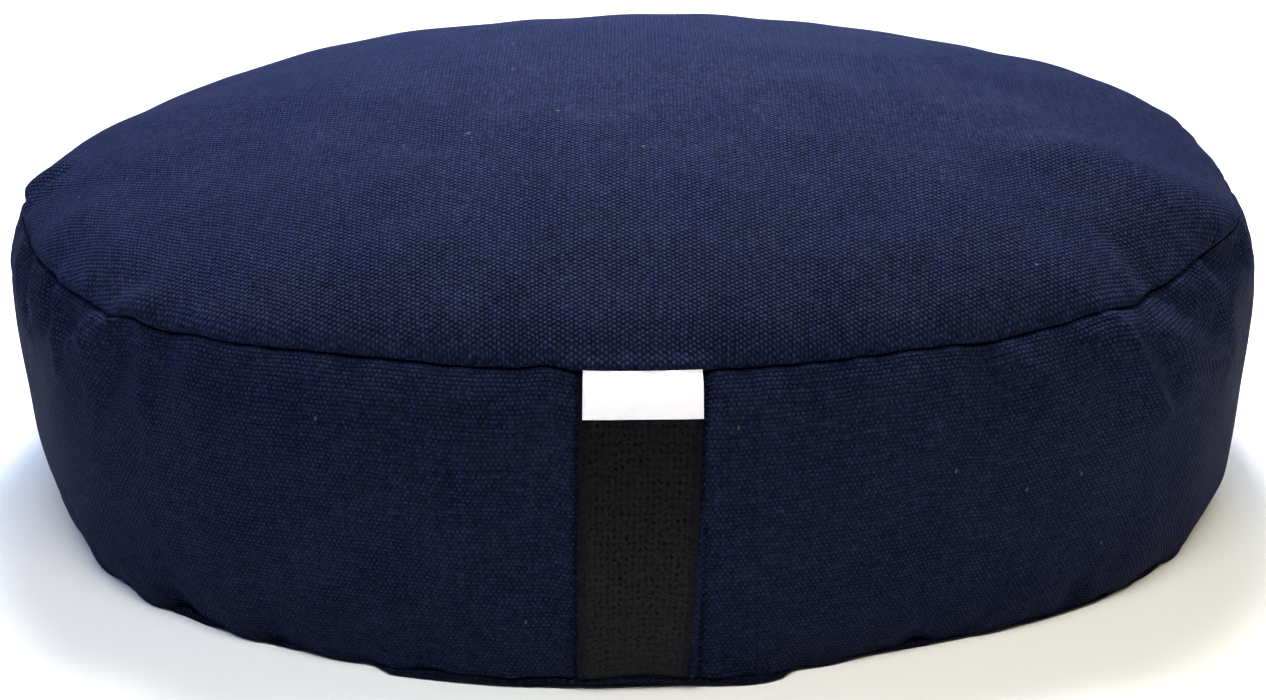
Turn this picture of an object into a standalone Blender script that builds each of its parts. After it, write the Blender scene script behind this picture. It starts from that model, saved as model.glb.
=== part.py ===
"""Oval zafu meditation cushion: firmly filled navy cotton duck, a webbing handle and a blank label.

Metres, +Z up. The cushion stands on its base panel, and its front, with the handle, faces -Y.
A bearing is an angle in degrees around the oval, anticlockwise from +X seen from above: 0 is the
right end, 90 the back, 180 the left end and 270 the front.

The cushion is one filled solid. Closed rings of points run down it: over the crown to the top seam,
down the bulging side band to the base seam, round the rim and in under the flat base. The top
panel, the side band and the base panel all pull in at the two seams.
"""

import math

import bpy
import numpy as np

MM = 0.001
TURN = 2 * math.pi


def table(columns, *rows):
    """Rows of numbers as an array whose columns are read by name."""
    return np.array(list(rows), dtype=[(name, float) for name in columns.split()])


# ---- driving dimensions -------------------------------------------------------------------------
SEAM_HALF_WIDTH = 225 * MM
SEAM_HALF_DEPTH = 155 * MM
SEAM_HEIGHT = 114.5 * MM
CROWN_RISE = 48.5 * MM
CROWN_EDGE_POWER = 0.69
BASE_SEAM_HEIGHT = 5.5 * MM

# A seam pulls the cloth in to this depth, over this distance to either side.
SEAM_PULL = 3.0 * MM
SEAM_PULL_REACH = 3.2 * MM

# Cotton webbing handle, sewn into both seams at the front.
STRAP_WIDTH = 37.5 * MM
STRAP_THICKNESS = 2.0 * MM
STRAP_TOP_DROP = 0.030
STRAP_FOOT_DROP = 0.985
STRAP_MIDDLE = 0.0 * MM

# Folded satin label, caught in the top seam over the strap.
LABEL_WIDTH = 37.0 * MM
LABEL_THICKNESS = 0.8 * MM
LABEL_TOP_DROP = 0.010
LABEL_FOOT_DROP = 0.112
LABEL_MIDDLE = 1.4 * MM

# Room left between cloth that touches, measured level.
CLOTH_GAP = 0.4 * MM
# Where the band slopes most, a thickness of cloth reaches this many times as far when measured level.
LEVEL_REACH = 1.25

# ---- the oval, section by section ---------------------------------------------------------------
# bearing: where the section is.    plan: seam's reach as a share of the plain oval.
# lift: seam above its mean height, mm.    fullness: how square the crown is towards this side.
# puff: the band's bulge as a share of its usual one.
# lean: how far the foot of the band stands out past the seam, mm, on top of the bulge.
# The rows are evenly spaced.
SECTIONS = table(
    "bearing plan lift fullness puff lean",
    (0.0, 0.977, 2.1, 1.70, 1.00, 0.8),
    (22.5, 0.997, 7.2, 1.68, 1.00, 0.3),
    (45.0, 1.004, 5.3, 1.68, 1.00, -0.4),
    (67.5, 1.010, 4.8, 1.78, 1.00, -1.2),
    (90.0, 1.009, 2.9, 1.88, 1.00, -2.0),
    (112.5, 1.005, 1.4, 1.89, 1.00, -3.4),
    (135.0, 1.000, -0.1, 1.89, 0.98, -4.7),
    (157.5, 0.996, -2.3, 1.87, 0.94, -5.9),
    (180.0, 1.011, -2.1, 1.85, 0.90, -6.6),
    (202.5, 1.021, -4.5, 1.90, 0.86, -2.0),
    (225.0, 1.051, -6.2, 1.96, 0.94, 2.6),
    (247.5, 1.035, -2.4, 2.01, 1.00, 5.9),
    (270.0, 1.015, -3.7, 2.06, 1.00, 8.2),
    (292.5, 0.980, -4.8, 1.99, 1.00, 6.6),
    (315.0, 1.011, -2.5, 1.91, 1.00, 4.4),
    (337.5, 0.995, 2.9, 1.80, 1.00, 3.4),
)

# drop: share of the way down the band.    bulge: how far it stands out past the seam there, mm.
BAND = table(
    "drop bulge",
    (0.00, 0.0),
    (0.04, 3.2),
    (0.12, 7.7),
    (0.25, 10.1),
    (0.40, 10.7),
    (0.55, 10.3),
    (0.70, 9.6),
    (0.82, 8.0),
    (0.92, 6.2),
    (1.00, 5.2),
)

# height: above the floor, mm.    reach: outwards from the base seam, mm.
RIM = table(
    "height reach",
    (3.4, 0.4),
    (1.2, -0.8),
    (0.0, -3.6),
)

# ---- main folds ---------------------------------------------------------------------------------
# bearing: of the fold's middle.    rise: of its middle, mm along the cloth above the top seam.
# length, width: from the middle to where it has mostly faded, mm.    slant: degrees from upright,
# its upper end to the right when it is seen from outside.    height: mm, below zero for a trough.
FOLDS = table(
    "bearing rise length width slant height",
    (190.0, 13.0, 17.0, 8.0, -23.0, 2.0),
    (205.5, -11.0, 11.0, 7.0, -50.0, -2.6),
    (208.5, -12.0, 14.0, 6.0, -43.0, 1.8),
    (211.5, -9.0, 11.0, 7.0, -42.0, -2.4),
    (214.5, 14.0, 26.0, 10.0, 83.0, -3.0),
    (221.0, -8.8, 13.0, 7.0, 57.0, 2.2),
    (222.0, -19.0, 16.0, 11.0, 0.0, -4.4),
    (224.5, 8.5, 15.0, 7.0, 97.0, 1.6),
    (227.0, -14.0, 15.0, 6.0, 5.0, 2.6),
    (231.0, -10.0, 9.0, 9.0, 0.0, -2.4),
    (246.5, -3.0, 6.0, 11.0, 0.0, -1.8),
    (299.5, -10.0, 9.0, 8.0, 0.0, -1.8),
    (303.5, -11.0, 9.0, 7.0, -40.0, 1.5),
    (313.5, -4.6, 8.0, 7.0, 0.0, 1.6),
    (316.5, -20.0, 20.0, 7.0, -25.0, -4.6),
    (321.0, -14.0, 24.0, 8.0, -53.0, 3.6),
    (325.5, -12.0, 17.0, 8.0, -45.0, -3.0),
    (326.0, 24.0, 18.0, 12.0, -35.0, -3.4),
    (334.5, 32.0, 32.0, 9.0, -21.0, 2.6),
    (30.0, -20.0, 20.0, 9.0, 15.0, -2.4),
    (62.0, -16.0, 16.0, 9.0, -12.0, -2.0),
    (98.0, -14.0, 15.0, 9.0, 8.0, -1.8),
    (133.0, -18.0, 18.0, 9.0, -15.0, -2.4),
    (160.0, -15.0, 16.0, 9.0, 12.0, -2.2),
    (229.5, -101.0, 9.0, 10.0, 0.0, -2.2),
    (252.0, -104.0, 8.0, 11.0, 0.0, -1.8),
    (291.0, -104.0, 8.0, 9.0, 0.0, -1.6),
    (309.5, -102.0, 8.0, 9.0, 0.0, -2.4),
)

# ---- how finely the solid is cut ----------------------------------------------------------------
POINTS_AROUND = 128
CROWN_RINGS = 12
BAND_RINGS = 15
# Rings of the band crowd towards both seams by this share of its height.
BAND_CROWDING = 0.07
STRAP_COLUMNS = 6
STRAP_ROWS = 20
LABEL_ROWS = 5
FRONT_BEARINGS = (250.0, 290.0)
FRONT_SAMPLES = 161
SHARP_EDGE_ANGLE = math.radians(40)

# ---- materials: linear base colour, roughness ---------------------------------------------------
CANVAS = ("navy_canvas", (0.016, 0.020, 0.052), 0.92)
WEBBING = ("black_webbing", (0.009, 0.009, 0.010), 0.85)
SATIN = ("white_satin", (0.86, 0.86, 0.87), 0.45)


def around(name, bearing):
    """A column of SECTIONS at any bearing in radians: a closed Catmull-Rom curve through its rows."""
    rows = SECTIONS[name]
    place = bearing / TURN * len(rows)
    first = np.floor(place).astype(int)
    part = place - first
    before, here, after, beyond = (rows[(first + step) % len(rows)] for step in (-1, 0, 1, 2))
    cubic = 3 * (here - after) + beyond - before
    square = 2 * before - 5 * here + 4 * after - beyond
    return here + 0.5 * part * (after - before + part * (square + part * cubic))


def band_bulge(drop):
    """Level reach past the seam, mm: a cubic between two rows of BAND that keeps the slope at each."""
    drops = BAND["drop"]
    bulges = BAND["bulge"]
    slopes = np.gradient(bulges, drops)
    first = np.clip(np.searchsorted(drops, drop, side="right") - 1, 0, len(drops) - 2)
    span = drops[first + 1] - drops[first]
    part = (drop - drops[first]) / span
    upper = (1 - part) ** 2 * ((1 + 2 * part) * bulges[first] + part * span * slopes[first])
    lower = part**2 * ((3 - 2 * part) * bulges[first + 1] - (1 - part) * span * slopes[first + 1])
    return upper + lower


def seam_plan(bearing):
    """Plan of the top seam, as x and y, and the level outward direction there, as x and y."""
    reach = around("plan", bearing)
    x = SEAM_HALF_WIDTH * reach * np.cos(bearing)
    y = SEAM_HALF_DEPTH * reach * np.sin(bearing)
    step = math.radians(0.05)
    later = around("plan", bearing + step)
    along_x = SEAM_HALF_WIDTH * later * np.cos(bearing + step) - x
    along_y = SEAM_HALF_DEPTH * later * np.sin(bearing + step) - y
    size = np.hypot(along_x, along_y)
    return x, y, along_y / size, -along_x / size


def seam_height(bearing):
    """Height of the top seam above the floor."""
    return SEAM_HEIGHT + around("lift", bearing) * MM


def crown_ring(share, bearing):
    """Ring over the top, share 0 at the middle and 1 at the seam: a dome that ends in a steep roll."""
    x, y, _, _ = seam_plan(bearing)
    dome = (1 - share ** around("fullness", bearing)) ** CROWN_EDGE_POWER
    z = SEAM_HEIGHT + around("lift", bearing) * MM * share**2 + CROWN_RISE * dome
    return np.stack([share * x, share * y, z], axis=-1)


def band_ring(drop, bearing, standoff=0.0):
    """Ring down the side, drop 0 at the top seam and 1 at the base seam, standoff proud of it."""
    x, y, out_x, out_y = seam_plan(bearing)
    bulge = band_bulge(drop) * around("puff", bearing) + around("lean", bearing) * drop
    reach = bulge * MM + standoff
    top = seam_height(bearing)
    z = top + (BASE_SEAM_HEIGHT - top) * drop
    return np.stack([x + out_x * reach, y + out_y * reach, z + 0 * x], axis=-1)


def rim_ring(height, reach, bearing):
    """Ring round the rim of the base panel, at a height and a reach past the base seam."""
    x, y, out_x, out_y = seam_plan(bearing)
    total = (band_bulge(1.0) * around("puff", bearing) + around("lean", bearing) + reach) * MM
    return np.stack([x + out_x * total, y + out_y * total, np.full_like(x, height * MM)], axis=-1)


def outward(rings):
    """Unit direction out of the cushion at each point, across its neighbours in both directions."""
    along = np.roll(rings, -1, axis=1) - np.roll(rings, 1, axis=1)
    down = np.gradient(rings, axis=0)
    away = np.cross(down, along)
    return away / np.linalg.norm(away, axis=2, keepdims=True)


def cloth_above_seam(rings, seam_row):
    """Distance along the cloth from each point up to the ring of a seam, above zero over it."""
    steps = np.linalg.norm(np.diff(rings, axis=0), axis=2)
    run = np.concatenate([np.zeros((1, rings.shape[1])), np.cumsum(steps, axis=0)])
    return run[seam_row] - run


def fold_relief(rings, bearing, seam_row):
    """Height of all the folds: each a Gaussian hill or hollow, longer than wide, laid on the cloth."""
    rise = cloth_above_seam(rings, seam_row)
    seam = rings[seam_row]
    steps = np.linalg.norm(np.roll(seam, -1, axis=0) - seam, axis=1)
    length_round = steps.sum()
    place = np.concatenate([[0.0], np.cumsum(steps)[:-1]])
    relief = np.zeros(rise.shape)
    for fold in FOLDS:
        middle = np.interp(math.radians(fold["bearing"]), bearing, place)
        across = (place - middle + length_round / 2) % length_round - length_round / 2
        above = rise - fold["rise"] * MM
        slant = math.radians(fold["slant"])
        lengthwise = across * math.sin(slant) + above * math.cos(slant)
        crosswise = across * math.cos(slant) - above * math.sin(slant)
        fade = (lengthwise / (fold["length"] * MM)) ** 2 + (crosswise / (fold["width"] * MM)) ** 2
        relief += fold["height"] * MM * np.exp(-fade)
    return relief


def cushion_rings():
    """All rings of the cushion from under the crown's middle to the edge of its flat base."""
    bearing = np.linspace(0, TURN, POINTS_AROUND, endpoint=False)
    shares = np.sin(np.linspace(0, 1, CROWN_RINGS + 1)[1:] * math.pi / 2)
    crown = [crown_ring(share, bearing) for share in shares]
    even = np.linspace(0, 1, BAND_RINGS + 1)[1:]
    drops = even - BAND_CROWDING * np.sin(TURN * even)
    band = [band_ring(drop, bearing) for drop in drops]
    rim = [rim_ring(row["height"], row["reach"], bearing) for row in RIM]
    rings = np.stack(crown + band + rim)
    seam_row = len(crown) - 1
    base_seam_row = seam_row + len(band)

    rise = cloth_above_seam(rings, seam_row)
    foot = cloth_above_seam(rings, base_seam_row)
    pull = np.exp(-((rise / SEAM_PULL_REACH) ** 2)) + np.exp(-((foot / SEAM_PULL_REACH) ** 2))
    relief = fold_relief(rings, bearing, seam_row) - SEAM_PULL * pull
    relief[base_seam_row + 1 :] = 0
    return rings + outward(rings) * relief[:, :, None]


def front_patch(middle, width, top_drop, foot_drop, rows, standoff):
    """Grid of points over the front of the band, standoff proud of it, in rows of equal width."""
    low, high = np.radians(FRONT_BEARINGS)
    bearing = np.linspace(low, high, FRONT_SAMPLES)
    across = middle + width * np.linspace(-0.5, 0.5, STRAP_COLUMNS)
    grid = []
    for drop in np.linspace(top_drop, foot_drop, rows):
        line = band_ring(drop, bearing, standoff)
        y = np.interp(across, line[:, 0], line[:, 1])
        z = np.interp(across, line[:, 0], line[:, 2])
        grid.append(np.stack([across, y, z], axis=-1))
    return np.stack(grid)


def principled(finish):
    """Material with a plain Principled surface."""
    name, colour, roughness = finish
    material = bpy.data.materials.new(name)
    material.use_nodes = True
    shader = material.node_tree.nodes["Principled BSDF"]
    shader.inputs["Base Color"].default_value = (*colour, 1.0)
    shader.inputs["Roughness"].default_value = roughness
    shader.inputs["Metallic"].default_value = 0.0
    return material


def add_object(name, points, faces, finish, parent):
    """Mesh object from points and faces, smooth but for its sharp edges, under the parent empty."""
    mesh = bpy.data.meshes.new(name)
    mesh.from_pydata(points.tolist(), [], faces)
    mesh.materials.append(principled(finish))
    mesh.shade_smooth()
    mesh.set_sharp_from_angle(angle=SHARP_EDGE_ANGLE)
    obj = bpy.data.objects.new(name, mesh)
    obj.parent = parent
    bpy.context.scene.collection.objects.link(obj)
    return obj


def closed_rings(rings):
    """Points and faces of a body of rings, closed by a fan over the crown and one under the base."""
    count, size, _ = rings.shape
    crown_middle = np.array([rings[0, :, 0].mean(), rings[0, :, 1].mean(), SEAM_HEIGHT + CROWN_RISE])
    base_middle = np.array([rings[-1, :, 0].mean(), rings[-1, :, 1].mean(), 0.0])
    points = np.vstack([rings.reshape(-1, 3), crown_middle, base_middle])
    crown_point = count * size
    base_point = crown_point + 1
    faces = []
    for here in range(size):
        after = (here + 1) % size
        faces.append((crown_point, here, after))
        for ring in range(count - 1):
            upper = ring * size
            lower = upper + size
            faces.append((upper + here, lower + here, lower + after, upper + after))
        last = (count - 1) * size
        faces.append((base_point, last + after, last + here))
    return points, faces


def sheet_faces(rows, columns):
    """Faces of a grid of points whose rows run down and whose columns run to the right."""
    faces = []
    for row in range(rows - 1):
        for col in range(columns - 1):
            corner = row * columns + col
            faces.append((corner, corner + columns, corner + columns + 1, corner + 1))
    return faces


def add_sheet(name, grid, thickness, finish, parent):
    """Sheet from a grid of its inner face, thickened outwards."""
    rows, columns, _ = grid.shape
    obj = add_object(name, grid.reshape(-1, 3), sheet_faces(rows, columns), finish, parent)
    wall = obj.modifiers.new("thickness", "SOLIDIFY")
    wall.thickness = thickness
    wall.offset = 1.0
    wall.use_even_offset = True
    return obj


def clear_scene():
    """Removes every object of the scene."""
    for obj in list(bpy.data.objects):
        bpy.data.objects.remove(obj, do_unlink=True)


def strap_inner_face():
    """Grid of the strap's inner face, a gap off the band."""
    return front_patch(
        STRAP_MIDDLE, STRAP_WIDTH, STRAP_TOP_DROP, STRAP_FOOT_DROP, STRAP_ROWS, CLOTH_GAP
    )


def label_inner_face():
    """Grid of the label's inner face, a gap off the strap."""
    standoff = 2 * CLOTH_GAP + LEVEL_REACH * STRAP_THICKNESS
    return front_patch(
        LABEL_MIDDLE, LABEL_WIDTH, LABEL_TOP_DROP, LABEL_FOOT_DROP, LABEL_ROWS, standoff
    )


def main():
    """Works out the three shapes, centres them together and makes one object of each."""
    clear_scene()
    rings = cushion_rings()
    strap = strap_inner_face()
    label = label_inner_face()

    # The origin is on the floor, under the middle of the whole part's box.
    everything = np.vstack([rings.reshape(-1, 3), strap.reshape(-1, 3) - (0, STRAP_THICKNESS, 0)])
    middle = (everything.min(axis=0) + everything.max(axis=0)) / 2
    middle[2] = 0.0

    zafu = bpy.data.objects.new("zafu", None)
    bpy.context.scene.collection.objects.link(zafu)
    points, faces = closed_rings(rings - middle)
    add_object("cushion", points, faces, CANVAS, zafu)
    add_sheet("handle_strap", strap - middle, STRAP_THICKNESS, WEBBING, zafu)
    add_sheet("label", label - middle, LABEL_THICKNESS, SATIN, zafu)


if __name__ == "__main__":
    main()
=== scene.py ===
"""Oval zafu meditation cushion in navy cotton duck, with its webbing handle and a blank satin label.

Metres, +Z up, the front with the handle towards -Y. A bearing is an angle around the oval,
anticlockwise from +X seen from above: 0 is the right end, 90 the back, 180 the left end, 270 the front.

The cover is one closed surface of rings that run down it: over the crown to the top seam, down the
bulging side band to the base seam, round the rim and in under the flat base. A ring is a row of an
array, and a place on it is a column.
"""

import functools
import math

import bpy
import numpy as np
from bpy.props import FloatProperty, FloatVectorProperty, PointerProperty
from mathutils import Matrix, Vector


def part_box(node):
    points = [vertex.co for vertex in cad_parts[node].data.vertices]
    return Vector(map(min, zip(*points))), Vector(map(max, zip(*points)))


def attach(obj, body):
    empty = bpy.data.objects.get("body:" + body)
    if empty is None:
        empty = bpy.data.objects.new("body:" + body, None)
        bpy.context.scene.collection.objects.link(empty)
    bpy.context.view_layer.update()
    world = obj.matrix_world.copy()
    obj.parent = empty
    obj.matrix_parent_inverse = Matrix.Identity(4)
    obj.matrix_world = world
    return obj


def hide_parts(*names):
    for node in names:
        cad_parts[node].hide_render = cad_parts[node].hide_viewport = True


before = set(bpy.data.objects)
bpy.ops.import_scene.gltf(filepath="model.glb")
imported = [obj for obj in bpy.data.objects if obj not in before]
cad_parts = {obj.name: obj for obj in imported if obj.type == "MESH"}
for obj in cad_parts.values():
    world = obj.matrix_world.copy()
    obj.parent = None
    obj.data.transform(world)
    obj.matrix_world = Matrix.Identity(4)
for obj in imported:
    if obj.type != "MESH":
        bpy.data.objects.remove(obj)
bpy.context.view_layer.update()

bl_info = {
    "name": "Zafu meditation cushion",
    "version": (1, 0, 0),
    "blender": (4, 5, 0),
    "location": "3D View > Sidebar > Zafu",
    "description": "Adds an oval meditation cushion with a webbing handle and a folded label",
    "category": "Add Mesh",
}

MM = 0.001
TURN = 2 * math.pi
# Keeps a length of zero from being divided by.
TINY = 1e-12
BODY = "root"


def table(columns, *rows):
    """Rows of numbers as an array whose columns are read by name."""
    return np.array(list(rows), dtype=[(name, float) for name in columns.split()])


# ---- the oval, section by section, evenly spaced ------------------------------------------------
# plan: seam's reach as a share of the plain oval.    lift: seam above its mean height, mm.
# fullness: how square the crown is towards this side.    puff: the band's bulge, share of the usual.
# lean: how far the foot of the band stands out past the seam, mm, on top of the bulge.
SECTIONS = table(
    "bearing plan lift fullness puff lean",
    (0.0, 0.977, 2.1, 1.70, 1.00, 0.8),
    (22.5, 0.997, 7.2, 1.68, 1.00, 0.3),
    (45.0, 1.004, 5.3, 1.68, 1.00, -0.4),
    (67.5, 1.010, 4.8, 1.78, 1.00, -1.2),
    (90.0, 1.009, 2.9, 1.88, 1.00, -2.0),
    (112.5, 1.005, 1.4, 1.89, 1.00, -3.4),
    (135.0, 1.000, -0.1, 1.89, 0.98, -4.7),
    (157.5, 0.996, -2.3, 1.87, 0.94, -5.9),
    (180.0, 1.011, -2.1, 1.85, 0.90, -6.6),
    (202.5, 1.021, -4.5, 1.90, 0.86, -2.0),
    (225.0, 1.051, -6.2, 1.96, 0.94, 2.6),
    (247.5, 1.035, -2.4, 2.01, 1.00, 5.9),
    (270.0, 1.015, -3.7, 2.06, 1.00, 8.2),
    (292.5, 0.980, -4.8, 1.99, 1.00, 6.6),
    (315.0, 1.011, -2.5, 1.91, 1.00, 4.4),
    (337.5, 0.995, 2.9, 1.80, 1.00, 3.4),
)

# drop: share of the way down the band.    bulge: how far it stands out past the seam there, mm.
BAND = table(
    "drop bulge",
    (0.00, 0.0),
    (0.04, 3.2),
    (0.12, 7.7),
    (0.25, 10.1),
    (0.40, 10.7),
    (0.55, 10.3),
    (0.70, 9.6),
    (0.82, 8.0),
    (0.92, 6.2),
    (1.00, 5.2),
)

# Where the folds that reach it bend the top seam. lift: of the bend's middle, mm. width: mm.
SEAM_BENDS = table(
    "bearing lift width",
    (200, -1.8, 9),
    (217, 1, 7),
    (222.8, -1.2, 3.5),
    (225.4, 2.3, 6),
    (232.5, 1.1, 9),
    (255.5, -0.4, 7),
    (262.8, 1.6, 6),
    (301, -1.3, 10),
    (311, 1, 7),
    (316.5, -1.4, 6),
    (328, 1.8, 8),
)

# side: from the front's middle, mm.    height: of the base seam above the floor there, mm. It shows
# along the middle of the front, and is tucked under elsewhere.    out: how far the foot stands out, mm.
BASE_SEAM = table(
    "side height out",
    (-88, 1.4, 0),
    (-76, 2.5, 0.6),
    (-66, 2.7, 0.6),
    (-38, 2.8, 0),
    (-18, 4.4, 0.3),
    (1, 6.4, 0.3),
    (17, 3.6, 0.3),
    (34, 2.4, 2),
    (43, 2.2, 1.6),
    (52, 1.4, 0),
)

# ---- folds --------------------------------------------------------------------------------------
# Each runs from one place on the cloth to another. bearing, rise: of its start, the rise in mm along
# the cloth above the top seam. to_bearing, to_rise: of its end. width: from its line to where it has
# mostly faded, mm. height: mm, below zero for a hollow. crest: 0 round, 1 sharp.
MAIN_FOLDS = table(
    "bearing rise to_bearing to_rise width height crest",
    (184.8, 4.8, 184.4, 18.5, 6, 2.7, 0.3),
    (187.4, 5, 187.2, 19, 3.2, -1.6, 0),
    (190.4, 5, 190.2, 18, 4, 1.5, 0.4),
    (206, 19, 219, 20, 14, 2.6, 0),
    (223.5, 5, 226, 6, 6, 1.5, 0),
    (201.2, -6, 204.6, -19, 6, -3.9, 0),
    (204.9, -5, 207.2, -26, 3.6, 1.9, 0.7),
    (209.6, -4, 211.5, -15, 4.5, -2.8, 0),
    (212.2, -4, 215.4, -29, 4.2, 1.2, 0.5),
    (213.9, -9.3, 217.2, -10.7, 4.5, -2.6, 0),
    (221.2, -2, 217.9, -17, 3, 2.3, 0.8),
    (223.4, -1.5, 220.4, -12.5, 3.2, 3.2, 0.7),
    (225.6, -13, 224.4, -25, 9, -4.4, 0),
    (226.4, -7, 228, -28, 5, 1.3, 0.3),
    (230.4, -8, 229.6, -18, 8.5, -2.6, 0),
    (247, -4, 247.5, -6, 7, -1.6, 0),
    (247.4, -12, 247.6, -22, 9, 0.9, 0),
    (294, -9, 294, -18, 9, 0.9, 0),
    (299.5, -7, 300, -16, 7, -1.8, 0),
    (302.4, -6, 305, -16, 5, 1.3, 0.4),
    (309.5, -14, 312.6, -30, 10, -2, 0),
    (310.2, -8.5, 312.2, -12, 6, 3, 0),
    (312.8, -2, 314.2, -13, 4.6, 3, 0.8),
    (314.4, -14, 318.6, -41, 4.6, 3.7, 1),
    (316, -12, 320, -34, 6, -3, 0.1),
    (315.2, -6.5, 330.4, -43, 5, 2.6, 0.5),
    (320.8, -4, 328, -22, 6, -2.9, 0),
    (325, -10, 330, -26, 7, 0.8, 0),
    (331.8, -3, 338.2, -9, 6, -6, 0),
    (321.6, 24, 320, 8, 7, -1.8, 0),
    (318.4, 15, 317, 4, 4, 1, 0.5),
    (321, 6, 329, 3, 13, -3.2, 0),
    (333, 56, 335.8, 6, 22, 5.4, 0),
    (27, -8, 33, -34, 8, -2.4, 0),
    (64, -7, 60, -28, 8, -2, 0),
    (97, -6, 100, -26, 8, -1.8, 0),
    (136, -6, 131, -32, 8, -2.4, 0),
    (158, -6, 162, -28, 8, -2.2, 0),
    (229, -103, 229, -109, 6, -2.8, 0.2),
    (239.4, -104, 239.4, -110, 5, -1.3, 0.2),
    (253.3, -102, 253.3, -108, 7, -2.2, 0.2),
    (276.4, -102, 278.4, -108, 4, -1.6, 0),
    (294.2, -107, 294.6, -111, 5, -2.4, 0.2),
    (310.4, -102, 310.6, -108, 6.5, -3.4, 0.2),
)

# The narrow tuck that stands up beside the handle, and its shaded side.
TUCK = table(
    "bearing rise to_bearing to_rise width height crest",
    (274.5, -48, 274.3, -62, 1.2, 1.2, 0.4),
    (274.2, -64, 273.95, -108, 1.2, 3.3, 0.4),
    (274.9, -52, 274.6, -108, 0.9, -1.8, 0),
)

# ---- how finely the cover is cut ----------------------------------------------------------------
# Rows down the crown, the band, the rim and the base, for the cover and for the cloth trial.
POINTS_AROUND = 520
ROWS = (82, 88, 8, 9)
TRIAL_POINTS_AROUND = 288
TRIAL_ROWS = (34, 28, 3, 6)
# Rows crowd towards the seams, more so the larger these are.
CROWN_CROWDING = 3.7
BAND_CROWDING = 0.8
BASE_CROWDING = 2.0
# times: how many times closer the columns stand at a bearing, besides the usual. reach: degrees.
CLOSER_COLUMNS = table(
    "bearing reach times",
    (274.6, 1.2, 6),
    (264.9, 1.2, 4),
    (218, 17, 0.9),
    (320, 15, 0.9),
)
# The crown's rows are measured out along its line at this bearing, degrees, in fine steps.
CROWN_LINE_BEARING = 300
CROWN_LINE_STEPS = 4001
AROUND_STEPS = 7201

# ---- the cover's form ---------------------------------------------------------------------------
# How squarely the crown turns down at its edge, and how fast a bend of the top seam dies out up the
# crown and down the band.
CROWN_EDGE_POWER = 0.69
CROWN_BEND_POWER = 24
BAND_BEND_POWER = 7
# Usual distance from the oval's middle to the top seam, mm. It turns an angle into a distance.
SEAM_RADIUS = 195.0
# Where down the band its foot starts to tuck under, and how late it does most of that.
FOOT_TUCK_START = 0.84
FOOT_TUCK_POWER = 2.2
# The base panel's rim, mm: how far it swells out under the base seam, and how far it then goes in.
RIM_SWELL = 0.6
RIM_TUCK = 3.6

# How much of the cloth trial's wrinkles is kept on the crown, how far from the seam, and on the band.
CROWN_WRINKLES = 0.12
CROWN_WRINKLE_REACH = 30 * MM
BAND_WRINKLES = 0.5
TRIAL_FRAMES = 20
# Reach, in columns, of the average that stands for the trial's even swelling.
SWELLING_COLUMNS = 10

SEED = 11
# Lengths of the filling's lumps, from smallest to largest.
LUMP_LENGTHS = (28 * MM, 110 * MM)
# Puckers over the top seam, under it and at the base seam. pitch, height: shares of the usual.
# fade: how far from the seam they have mostly gone, mm.
PUCKERS = table("pitch height fade", (1, 1, 6), (1.15, 1.3, 9), (2.8, 2, 14))
# Waves of the puckers: their pitches as shares of the usual, how many times their height drifts
# round the seam, and by how much.
WAVE_PITCHES = (0.7, 1.45)
WAVE_DRIFTS = (3, 9)
WAVE_DRIFT_SHARE = 0.8

# The handle's length down the band, and the band's own length at the front.
HANDLE_RUN = 108 * MM
FRONT_RUN = 109 * MM
# Where down the handle its right edge starts to be drawn in, and how late most of that comes.
GATHER_START = 0.7
GATHER_POWER = 1.5
# The hollows along the handle's edges: their distance past an edge, how much further the right one
# is at the top seam, their reach, and how far down the band they ease off.
HANDLE_HOLLOW_AWAY = 0.3 * MM
RIGHT_HOLLOW_AWAY = 1.0 * MM
HANDLE_HOLLOW_REACH = 1.3 * MM
HANDLE_HOLLOW_FADE = 25 * MM
# The hollows' reach and the depths of the two: the share far down the band, and what the top adds.
HOLLOW_SHARES = {"reach": (0.7, 0.5), "left": (0.5, 0.6), "right": (0.4, 1.3)}

# The handle presses the band flat, and the top panel stands out over the label: the half width of
# each, and the fade past it. The lip's middle is at a rise above the seam, with a reach.
PRESSED_HALF_WIDTH = 20 * MM
LIP_HALF_WIDTH = 19 * MM
ZONE_FADE = 6 * MM
LIP_RISE = 2.6 * MM
LIP_REACH = 2.4 * MM
# The top seam's groove is this much wider on the crown. The base seam's groove has its own depth.
CROWN_GROOVE_WIDER = 1.2
BASE_GROOVE_DEPTH = 1.5 * MM
# How far above its seam the top panel rolls down most.
ROLL_RISE = 2.2 * MM


def measure(name, description, default, **limits):
    """A length in metres that a user may change."""
    return FloatProperty(name=name, description=description, default=default, unit="LENGTH",
                         precision=4, **limits)


def tint(name, description, default):
    """A colour that a user may change."""
    return FloatVectorProperty(name=name, description=description, default=default, size=3,
                               subtype="COLOR", min=0.0, max=1.0)


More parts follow.
